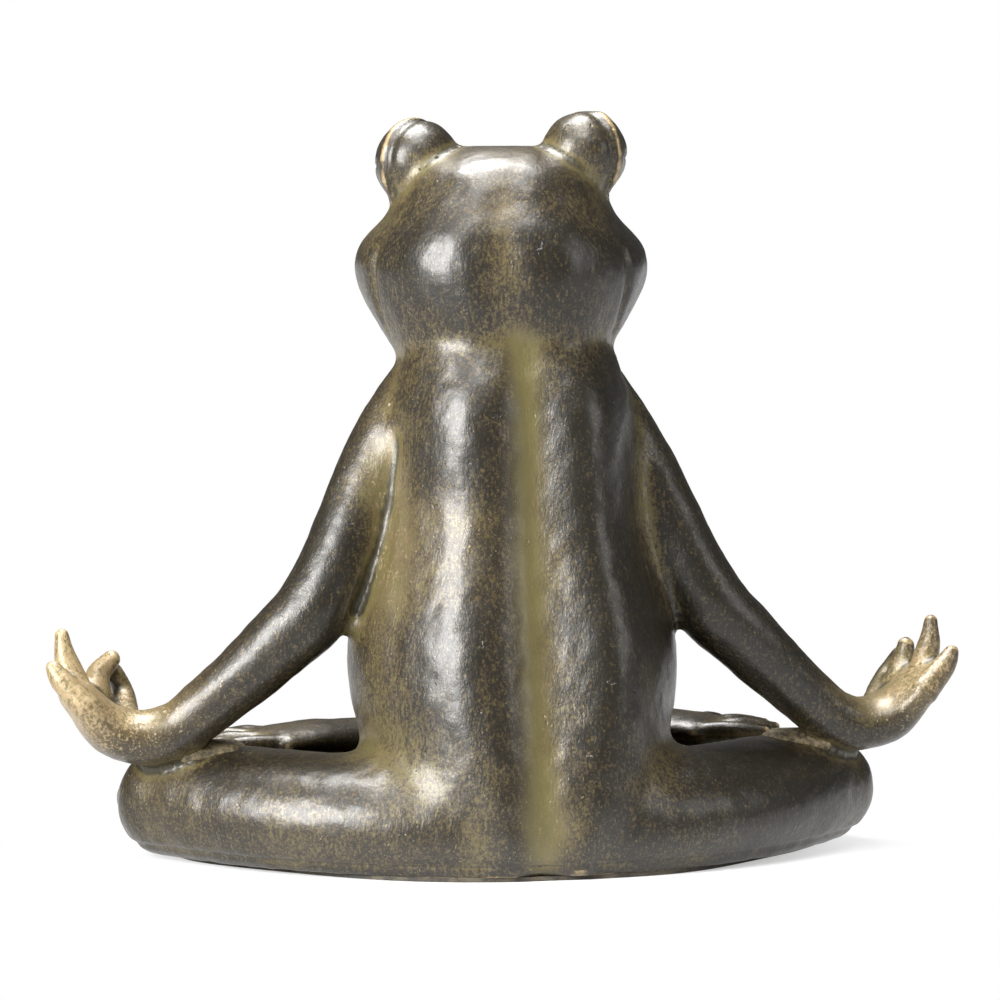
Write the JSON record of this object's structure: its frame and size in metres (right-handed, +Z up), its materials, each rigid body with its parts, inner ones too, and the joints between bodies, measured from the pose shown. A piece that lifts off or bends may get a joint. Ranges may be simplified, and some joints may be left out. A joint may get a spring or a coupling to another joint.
{
  "type": "frog figurine",
  "caption": "Seated meditating frog figurine, legs crossed and open hands resting on the knees, cast with an aged bronze finish.",
  "frame": {"origin": "on the ground under the middle of the figure", "axes": "+Z up, the frog faces -Y, its left hand on the +X side"},
  "size_m": [0.4206, 0.213, 0.338],
  "materials": {
    "bronze_resin": "aged bronze, satin lacquer",
    "filler_bead": "rough, painted over",
    "steel_rod": "plain drawn rod",
    "base_board": "matte"
  },
  "bodies": {
    "root": {"head_shell": "bronze_resin", "torso_shell": "bronze_resin", "left_arm": "bronze_resin", "right_arm": "bronze_resin", "left_hand": "bronze_resin", "right_hand": "bronze_resin", "left_leg": "bronze_resin", "right_leg": "bronze_resin", "left_foot": "bronze_resin", "right_foot": "bronze_resin", "left_wrist_bond": "filler_bead", "right_wrist_bond": "filler_bead", "neck_dowel": "steel_rod", "left_arm_wire": "steel_rod", "right_arm_wire": "steel_rod", "hip_pins": "steel_rod", "foot_pins": "steel_rod", "base_plate": "base_board"}
  },
  "joints": []
}
